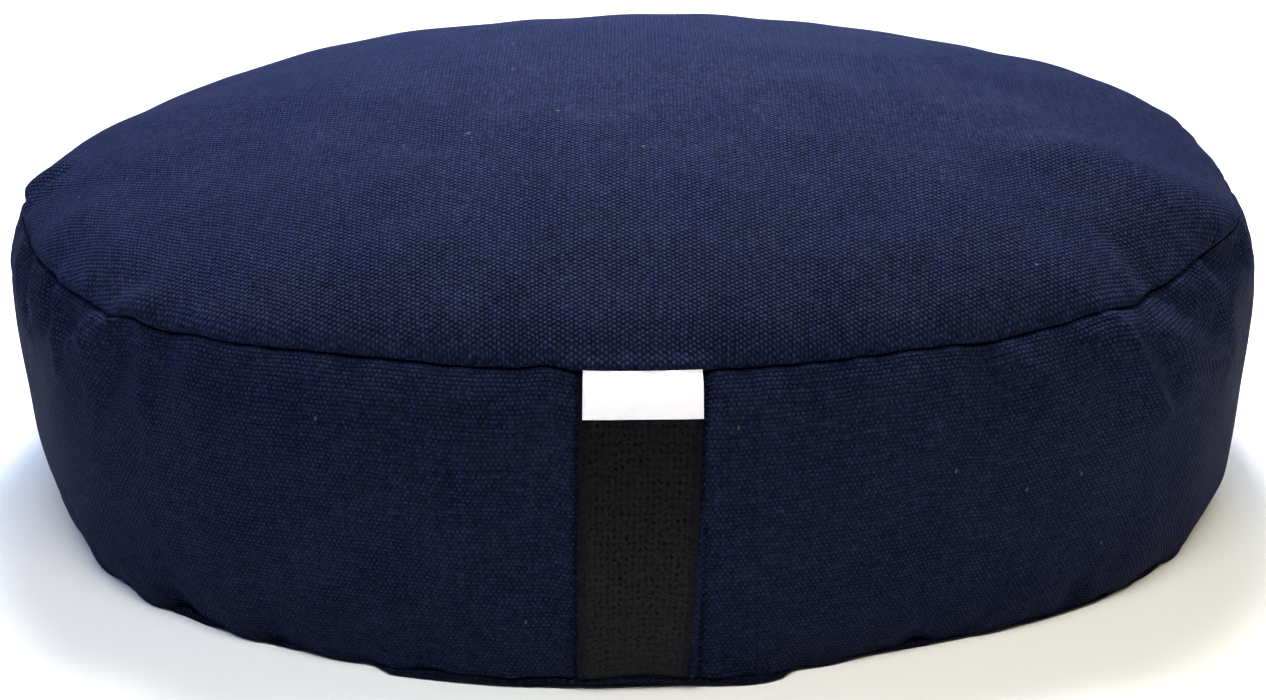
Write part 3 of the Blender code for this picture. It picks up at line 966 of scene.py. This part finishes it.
class ZAFU_OT_label(bpy.types.Operator):
    """Add the blank satin label, folded once, over the handle's top."""

    bl_idname = "zafu.add_label"
    bl_label = "Add Label"

    def execute(self, context):
        settings = context.scene.zafu
        label = settings.label
        handle = settings.handle
        across = label.middle + np.linspace(-0.5, 0.5, LABEL_COLUMNS) * label.width
        drops = np.linspace(*LABEL_DROPS, LABEL_ROWS)
        points, out = front_frame(settings.cover, np.tile(across, (LABEL_ROWS, 1)), drops)
        dip = LABEL_DIP * hump(run_along(points[:, LABEL_MIDDLE])[:, None], LABEL_DIP_REACH)
        back = handle.gap + handle.thickness + LABEL_ROOM
        layer = label.thickness + LAYER_ROOM
        behind = points + out * (back - dip)[:, :, None]
        before = points + out * (back + layer - dip)[:, :, None]
        turn = np.radians(np.linspace(-FOLD_TURN, FOLD_TURN, FOLD_POINTS))[:, None, None]
        low = (behind[-1] + before[-1]) / 2
        down = behind[-1] - behind[-2]
        down /= np.linalg.norm(down, axis=1, keepdims=True)
        bend = low + down * layer / 2 * np.cos(turn) - out[-1] * layer / 2 * np.sin(turn)
        grid = np.concatenate([before, bend, behind[::-1]])
        run = run_along(grid[:, LABEL_MIDDLE])
        obj = put_object("satin_label", grid.reshape(-1, 3) + shift(settings.cover),
                         grid_faces(len(grid), LABEL_COLUMNS, closed=False),
                         face_corners(cloth_grid(across, run)))
        wall = obj.modifiers.new("thickness", "SOLIDIFY")
        wall.thickness = label.thickness
        wall.offset = 0.0
        obj.data.materials.append(satin_material(settings.finish))
        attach(obj, BODY)
        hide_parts("label")
        return {"FINISHED"}


def shift(sizes):
    """From the shape's own middle to the frame's: it centres the plain cover's box on the CAD node's."""
    low, high = (np.array(corner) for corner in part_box("cushion"))
    bearing = np.linspace(0, TURN, BOX_BEARINGS, endpoint=False)
    widest = np.stack([band_ring(sizes, drop, bearing) for drop in np.linspace(0, 1, BOX_DROPS)])
    own = (widest.min(axis=(0, 1)) + widest.max(axis=(0, 1))) / 2
    move = (low + high) / 2 - own
    return np.array([move[0], move[1], 0.0])


# ---- materials ----------------------------------------------------------------------------------
class Nodes:
    """Short ways to add shader nodes to a new material."""

    def __init__(self, name):
        self.material = bpy.data.materials.new(name)
        self.material.use_nodes = True
        self.tree = self.material.node_tree
        self.shader = self.tree.nodes["Principled BSDF"]

    def add(self, kind, inputs=(), **facts):
        """A node of a kind, its facts set and its inputs linked or given values."""
        node = self.tree.nodes.new(kind)
        for name, value in facts.items():
            setattr(node, name, value)
        for name, value in dict(inputs).items():
            if isinstance(value, bpy.types.NodeSocket):
                self.tree.links.new(value, node.inputs[name])
            else:
                node.inputs[name].default_value = value
        return node

    def math(self, operation, *values):
        """Result of a sum on sockets or numbers."""
        return self.add("ShaderNodeMath", enumerate(values), operation=operation).outputs[0]

    def sum(self, *values):
        """Values added up."""
        return functools.reduce(lambda total, value: self.math("ADD", total, value), values)

    def product(self, *values):
        """Values multiplied."""
        return functools.reduce(lambda total, value: self.math("MULTIPLY", total, value), values)

    def wave(self, value, rate):
        """Sine of a value times a rate."""
        return self.math("SINE", self.product(value, rate))

    def plane(self, x, y):
        """Vector of two values."""
        return self.add("ShaderNodeCombineXYZ", {0: x, 1: y}).outputs[0]

    def blend(self, factor, low, high):
        """Colour between two colours."""
        return self.add("ShaderNodeMix", {0: factor, 6: low, 7: high}, data_type="RGBA").outputs[2]

    def shaded(self, colour, value):
        """Colour with its brightness multiplied by a value."""
        return self.add("ShaderNodeHueSaturation", {"Value": value, "Color": colour}).outputs[0]

    def noise(self, vector, scale, detail=2.0):
        """Soft noise from 0 to 1."""
        inputs = {"Vector": vector, "Scale": scale, "Detail": detail}
        return self.add("ShaderNodeTexNoise", inputs).outputs["Fac"]

    def stray(self, vector, scale, amount, detail=2.0):
        """Soft noise that swings to both sides of 0."""
        return self.product(self.math("SUBTRACT", self.noise(vector, scale, detail), 0.5), amount)

    def chance(self, u, v):
        """A random value from 0 to 1 for each cell between whole numbers of u and v."""
        cell = self.plane(self.math("FLOOR", u), self.math("FLOOR", v))
        node = self.add("ShaderNodeTexWhiteNoise", {"Vector": cell}, noise_dimensions="2D")
        return node.outputs["Value"]

    def remap(self, value, span, to_span=(0.0, 1.0)):
        """Value carried from one span to another, and kept inside it."""
        return self.add("ShaderNodeMapRange", enumerate((value, *span, *to_span))).outputs[0]

    def spot(self):
        """Place in the object's own axes, metres."""
        return self.add("ShaderNodeTexCoord").outputs["Object"]

    def cloth_place(self):
        """The two places on the cloth, metres."""
        place = self.add("ShaderNodeUVMap", uv_map="cloth").outputs[0]
        split = self.add("ShaderNodeSeparateXYZ", {0: place})
        return split.outputs[0], split.outputs[1]

    def finish(self, colour, height, distance, strength=1.0):
        """Puts a colour on the shader, and bumps of a height times a distance in metres."""
        inputs = {"Height": height, "Distance": distance, "Strength": strength}
        bumps = self.add("ShaderNodeBump", inputs)
        self.tree.links.new(colour, self.shader.inputs["Base Color"])
        self.tree.links.new(bumps.outputs[0], self.shader.inputs["Normal"])

    def set(self, **values):
        """Plain values of the shader, by socket name with underscores for spaces."""
        for name, value in values.items():
            self.shader.inputs[name.replace("_", " ")].default_value = value


def opaque(colour):
    """A colour as a socket takes it."""
    return (*colour, 1.0)


def grey_of(colour):
    """A greyer tone of a colour, part of the way to its mean."""
    mean = sum(colour) / 3
    return tuple((1 - GREY_SHARE) * part + GREY_SHARE * mean for part in colour)


# How far towards its mean a colour goes to be greyer.
GREY_SHARE = 0.4
# Where most of a soft noise lies.
NOISE_SPAN = (0.3, 0.7)

# Heights of the duck's thick yarns, floats, slubs and fuzz, which the bumps multiply by a distance.
THICK_HEIGHT = 0.70
FLOAT_HEIGHT = 0.50
SLUB_HEIGHT = 0.35
FUZZ_HEIGHT = 0.25
DUCK_BUMPS = 0.62 * MM
# Heights over which the gaps' painted shade turns into the yarns' colour.
DUCK_GAP_SHADE_TO_YARN = (0.28, 1.48)
# A slub's lengths, as how fast its noise goes over the thick yarns and over the thin ones.
THICK_SLUB = (0.85, 0.09)
THIN_SLUB = (0.06, 0.85)
# Tones from darkest to brightest: of the floats, the slubs, the patches of dye, and the painted
# shade at the foot, with the heights above the floor that this painted shade lies between.
FLOAT_TONES = (0.58, 1.42)
SLUB_TONES = (0.90, 1.10)
PATCH_TONES = (0.95, 1.05)
FOOT_PAINTED_SHADE_TONES = (0.45, 1.0)
FOOT_PAINTED_SHADE_HEIGHTS = (2 * MM, 7 * MM)
# How much greyer the dye is at most, in patches and along the slubs.
GREYER_PATCH = (0.0, 0.16)
GREYER_SLUB = (0.0, 0.18)


def duck_material(finish):
    """Plain-woven duck: thin yarns pass over and under thick ones, so floats stand like bricks.

    With u and v counted in yarns, the height is |sin(pi u)| for the thick yarns plus
    sin(pi u) sin(pi v) for the floats, each by its share. Each float has its own tone, the gaps get a
    painted shade, the yarns wander, the dye is uneven, here and there a fleck of lint is caught, and
    close to the floor the foot gets a painted shade.
    """
    n = Nodes("navy_duck")
    along, side = n.cloth_place()
    spot = n.spot()
    wander = n.stray(spot, scale=90.0, amount=0.9, detail=1.0)
    u = n.sum(n.math("DIVIDE", along, finish.coarse_yarn), wander, n.stray(spot, scale=520.0, amount=0.5))
    v = n.sum(n.math("DIVIDE", side, finish.fine_yarn), wander, n.stray(spot, scale=610.0, amount=0.7))
    thick_slub, thin_slub = (
        n.noise(n.plane(n.product(u, over_thick), n.product(v, over_thin)), scale=1.0)
        for over_thick, over_thin in (THICK_SLUB, THIN_SLUB)
    )
    wave_u = n.wave(u, math.pi)
    wave_v = n.wave(v, math.pi)
    height = n.sum(
        n.product(n.math("ABSOLUTE", wave_u), THICK_HEIGHT),
        n.product(wave_u, wave_v, FLOAT_HEIGHT),
        n.product(thin_slub, SLUB_HEIGHT),
        n.product(n.noise(spot, scale=2600.0), FUZZ_HEIGHT),
    )
    chance = n.chance(u, v)
    above_floor = n.add("ShaderNodeSeparateXYZ", {0: spot}).outputs[2]
    # The tone holds a painted shade: the duck is painted darker close to the floor.
    tone = n.product(
        n.remap(above_floor, FOOT_PAINTED_SHADE_HEIGHTS, FOOT_PAINTED_SHADE_TONES),
        n.remap(chance, (0.0, 1.0), FLOAT_TONES),
        n.remap(thick_slub, NOISE_SPAN, SLUB_TONES),
        n.remap(thin_slub, NOISE_SPAN, SLUB_TONES),
        n.remap(n.noise(spot, scale=45.0, detail=3.0), NOISE_SPAN, PATCH_TONES),
    )
    # Painted shade: the lower the weave, the nearer its colour is to the dark gap colour.
    base = n.blend(n.remap(height, DUCK_GAP_SHADE_TO_YARN), opaque(finish.navy_gap_shade), opaque(finish.navy))
    grey = n.sum(
        n.remap(n.noise(spot, scale=38.0, detail=3.0), (0.35, 0.7), GREYER_PATCH),
        n.remap(thick_slub, (0.4, 0.7), GREYER_SLUB),
    )
    yarns = n.shaded(n.blend(grey, base, opaque(grey_of(finish.navy))), tone)
    fleck = n.math("GREATER_THAN", chance, finish.lint_chance)
    n.finish(n.blend(fleck, yarns, opaque(finish.lint)), height, DUCK_BUMPS)
    n.set(Roughness=0.70, Specular_IOR_Level=0.02, Sheen_Weight=0.045, Sheen_Roughness=0.45)
    n.set(Sheen_Tint=(0.30, 0.38, 1.0, 1.0))
    return n.material


# How far the webbing's rows step back and forth from column to column, in rows.
ZIGZAG = 0.3
# Sums of waves over which a pit deepens, and the share of its depth that each pit has by chance.
PIT_WAVES = (-0.6, 1.6)
PIT_DEPTHS = (0.5, 1.0)
# Along the handle: where the pits get shallower, and how much. The run over which the webbing is
# painted darker at its top and lighter towards its foot, as painted shade and painted light, and the
# tones.
WORN_PITS = (60 * MM, 105 * MM)
WORN_PIT_DEPTHS = (1.0, 0.6)
PAINTED_LIGHT_RUN = (0.0, 110 * MM)
PAINTED_LIGHT_TONES = (0.50, 1.66)
# Height of the webbing's face: its weave's share, its fuzz's, and the level that it starts from.
WEAVE_HEIGHT = 0.62
WEAVE_FUZZ = 2.2
WEAVE_LEVEL = -0.50
# Height of its edges: the share of the ribs, the fuzz's, and the ribs' pitch across the webbing.
RIB_HEIGHT = 0.10
RIB_FUZZ = 1.5
RIB_PITCH = 0.9 * MM
# The edge's band begins and ends this far in from the webbing's side.
EDGE_BAND = (3.6 * MM, 2.2 * MM)
# Heights from dark to bright, and the tones there: the pits and low places of the face get a painted
# shade, and the fuzz varies the tone at random.
WEBBING_HEIGHTS = (0.20, 1.40)
WEBBING_SHADE_TONES = (0.0, 1.9)
WEBBING_BUMPS = 0.40 * MM


def webbing_material(finish, handle):
    """Cotton webbing: an even face with dark pits in staggered rows that zigzag, and smoother edges.

    With c and r counted in columns and rows, the pits are where sin(2 pi c) + sin(2 pi r) is highest.
    The top is painted darker and the foot paler: painted shade and painted light.
    """
    n = Nodes("black_webbing_weave")
    across, along = n.cloth_place()
    spot = n.spot()
    column = n.sum(n.math("DIVIDE", across, finish.webbing_column), n.stray(spot, scale=430.0, amount=1.0))
    row = n.sum(
        n.math("DIVIDE", along, finish.webbing_row),
        n.stray(spot, scale=120.0, amount=0.6),
        n.product(n.math("PINGPONG", column, 1.0), ZIGZAG),
        n.stray(spot, scale=390.0, amount=1.1),
    )
    pits = n.product(
        n.remap(n.sum(n.wave(column, TURN), n.wave(row, TURN)), PIT_WAVES),
        n.remap(n.chance(column, row), (0.0, 0.7), PIT_DEPTHS),
        n.remap(along, WORN_PITS, WORN_PIT_DEPTHS),
    )
    fuzz = n.noise(spot, scale=900.0, detail=4.0)
    raised = n.math("SUBTRACT", 1.0, pits)
    face = n.sum(n.product(raised, WEAVE_HEIGHT), n.product(fuzz, WEAVE_FUZZ), WEAVE_LEVEL)
    border = n.sum(n.product(n.wave(across, TURN / RIB_PITCH), RIB_HEIGHT), n.product(fuzz, RIB_FUZZ))
    edge = n.remap(n.math("ABSOLUTE", across), tuple(handle.width / 2 - inwards for inwards in EDGE_BAND))
    height = n.add("ShaderNodeMix", {0: edge, 2: face, 3: border}).outputs[0]
    # Painted shade at the top of the handle and painted light towards its foot.
    painted_light = n.remap(along, PAINTED_LIGHT_RUN, PAINTED_LIGHT_TONES)
    # Painted shade: the lower the face, as in the pits, the darker its colour.
    painted_light_and_shade = n.product(n.remap(height, WEBBING_HEIGHTS, WEBBING_SHADE_TONES), painted_light)
    yarns = n.blend(edge, opaque(finish.black), opaque(finish.black_edge))
    n.finish(n.shaded(yarns, painted_light_and_shade), height, WEBBING_BUMPS)
    n.set(Roughness=0.85, Specular_IOR_Level=0.02, Sheen_Weight=0.0)
    return n.material


# The satin's ribs run across the ribbon. Its tones are those of a soft, faint unevenness.
SATIN_RIB_PITCH = 0.42 * MM
SATIN_RIB_HEIGHT = 0.25
SATIN_TONES = (0.96, 1.0)
SATIN_BUMPS = 0.05 * MM


def satin_material(finish):
    """Satin ribbon: fine crosswise ribs, a soft gloss, and a faint unevenness."""
    n = Nodes("white_satin_ribbon")
    _, along = n.cloth_place()
    soft = n.noise(n.spot(), scale=260.0)
    height = n.sum(n.product(n.wave(along, TURN / SATIN_RIB_PITCH), SATIN_RIB_HEIGHT), soft)
    colour = n.shaded(opaque(finish.white), n.remap(soft, NOISE_SPAN, SATIN_TONES))
    n.finish(colour, height, SATIN_BUMPS, strength=0.6)
    n.set(Roughness=0.42, Specular_IOR_Level=0.5, Sheen_Weight=0.1)
    return n.material


# ---- stage --------------------------------------------------------------------------------------
WHITE_LIGHT = (1.0, 1.0, 1.0)
SOFT_LIGHT = (1.0, 0.985, 0.92)
COOL_LIGHT = (0.65, 0.94, 1.60)
BLUE_LIGHT = (0.33, 0.80, 2.10)
WARM_LIGHT = (1.35, 1.10, 0.55)
AMBER_LIGHT = (1.50, 1.10, 0.40)
CUSHION_MIDDLE = (0.0, 0.0, 0.08)
# Each softbox: its name, place, aim, size, watts, colour, and the spread of its grid in degrees,
# which is 180 where it has none.
SOFTBOXES = (
    ("near_top", (0.0, 0.22, 0.62), (0.0, 0.1, 0.1), (0.35, 0.35), 5.8, WHITE_LIGHT, 120),
    ("front_top", (0.0, -0.8, 1.5), (0.0, -0.8, 0.0), (1.4, 0.5), 14.2, SOFT_LIGHT, 120),
    ("background", (0.0, 1.0, 1.0), (0.0, 1.0, 0.0), (1.6, 0.4), 3.2, AMBER_LIGHT, 60),
    ("back", (0.0, 1.8, 1.2), CUSHION_MIDDLE, (1.2, 0.6), 18.8, COOL_LIGHT, 180),
    ("left", (-1.5, 0.1, 0.6), CUSHION_MIDDLE, (0.9, 0.9), 3.7, BLUE_LIGHT, 180),
    ("right", (1.5, 0.1, 0.6), CUSHION_MIDDLE, (0.9, 0.9), 4.0, WARM_LIGHT, 180),
)
WORLD_STRENGTH = 0.04
FLOOR_HALF_SIDE = 8.0
# Just under the cushion's base, so that the two don't flicker.
FLOOR_HEIGHT = -0.3 * MM
SENSOR_WIDTH = 36.0


def soft_light(name, place, aim, size, power, colour, spread):
    """Softbox at a place, turned to its aim."""
    data = bpy.data.lights.new(name, "AREA")
    data.shape = "RECTANGLE"
    data.size, data.size_y = size
    data.energy = power
    data.color = colour
    data.spread = math.radians(spread)
    obj = bpy.data.objects.new(name, data)
    obj.location = place
    obj.rotation_euler = (Vector(aim) - Vector(place)).to_track_quat("-Z", "Y").to_euler()
    bpy.context.scene.collection.objects.link(obj)


class ZAFU_OT_stage(bpy.types.Operator):
    """Add the floor, the soft lights and the camera."""

    bl_idname = "zafu.add_stage"
    bl_label = "Add Stage"

    def execute(self, context):
        settings = context.scene.zafu
        studio = settings.studio
        scene = context.scene
        move = shift(settings.cover)

        far = FLOOR_HALF_SIDE
        plan = [(-far, -far), (far, -far), (far, far), (-far, far)]
        floor = put_object("floor", np.array([(x, y, FLOOR_HEIGHT) for x, y in plan]), [(0, 1, 2, 3)])
        n = Nodes("pale_floor")
        n.set(Base_Color=opaque(studio.floor_tone), Roughness=0.9, Specular_IOR_Level=0.1)
        floor.data.materials.append(n.material)
        for softbox in SOFTBOXES:
            soft_light(*softbox)

        world = bpy.data.worlds.new("studio")
        world.use_nodes = True
        background = world.node_tree.nodes["Background"]
        background.inputs["Color"].default_value = opaque(WHITE_LIGHT)
        background.inputs["Strength"].default_value = WORLD_STRENGTH
        scene.world = world
        scene.view_settings.view_transform = "Standard"

        data = bpy.data.cameras.new("camera")
        data.lens = studio.lens
        data.sensor_width = SENSOR_WIDTH
        data.clip_start = 10 * MM
        camera = bpy.data.objects.new("camera", data)
        aim = Vector((move[0] + studio.aim_side, move[1], studio.aim_height))
        back = Vector((0, -math.cos(studio.elevation), math.sin(studio.elevation)))
        camera.location = aim + back * studio.distance
        camera.rotation_euler = back.to_track_quat("Z", "Y").to_euler()
        scene.collection.objects.link(camera)
        scene.camera = camera
        return {"FINISHED"}


class ZAFU_PT_sidebar(bpy.types.Panel):
    """The cushion's pieces and what may be changed."""

    bl_idname = "ZAFU_PT_sidebar"
    bl_label = "Zafu"
    bl_space_type = "VIEW_3D"
    bl_region_type = "UI"
    bl_category = "Zafu"

    def draw(self, context):
        settings = context.scene.zafu
        for operator in OPERATORS:
            self.layout.operator(operator.bl_idname)
        for group in (settings.cover, settings.handle, settings.label, settings.finish, settings.studio):
            box = self.layout.box()
            for name in group.__annotations__:
                box.prop(group, name)


OPERATORS = (ZAFU_OT_cover, ZAFU_OT_handle, ZAFU_OT_label, ZAFU_OT_stage)
GROUPS = (ZafuCover, ZafuHandle, ZafuLabel, ZafuFinish, ZafuStudio, ZafuSettings)
CLASSES = (*GROUPS, *OPERATORS, ZAFU_PT_sidebar)


def register():
    """Makes the add-on's classes and settings known to Blender."""
    for entry in CLASSES:
        bpy.utils.register_class(entry)
    bpy.types.Scene.zafu = PointerProperty(type=ZafuSettings)


def unregister():
    """Takes them away again."""
    del bpy.types.Scene.zafu
    for entry in reversed(CLASSES):
        bpy.utils.unregister_class(entry)


def main():
    """Adds every piece and the stage."""
    register()
    bpy.ops.zafu.add_cover()
    bpy.ops.zafu.add_handle()
    bpy.ops.zafu.add_label()
    bpy.ops.zafu.add_stage()


if __name__ == "__main__":
    main()
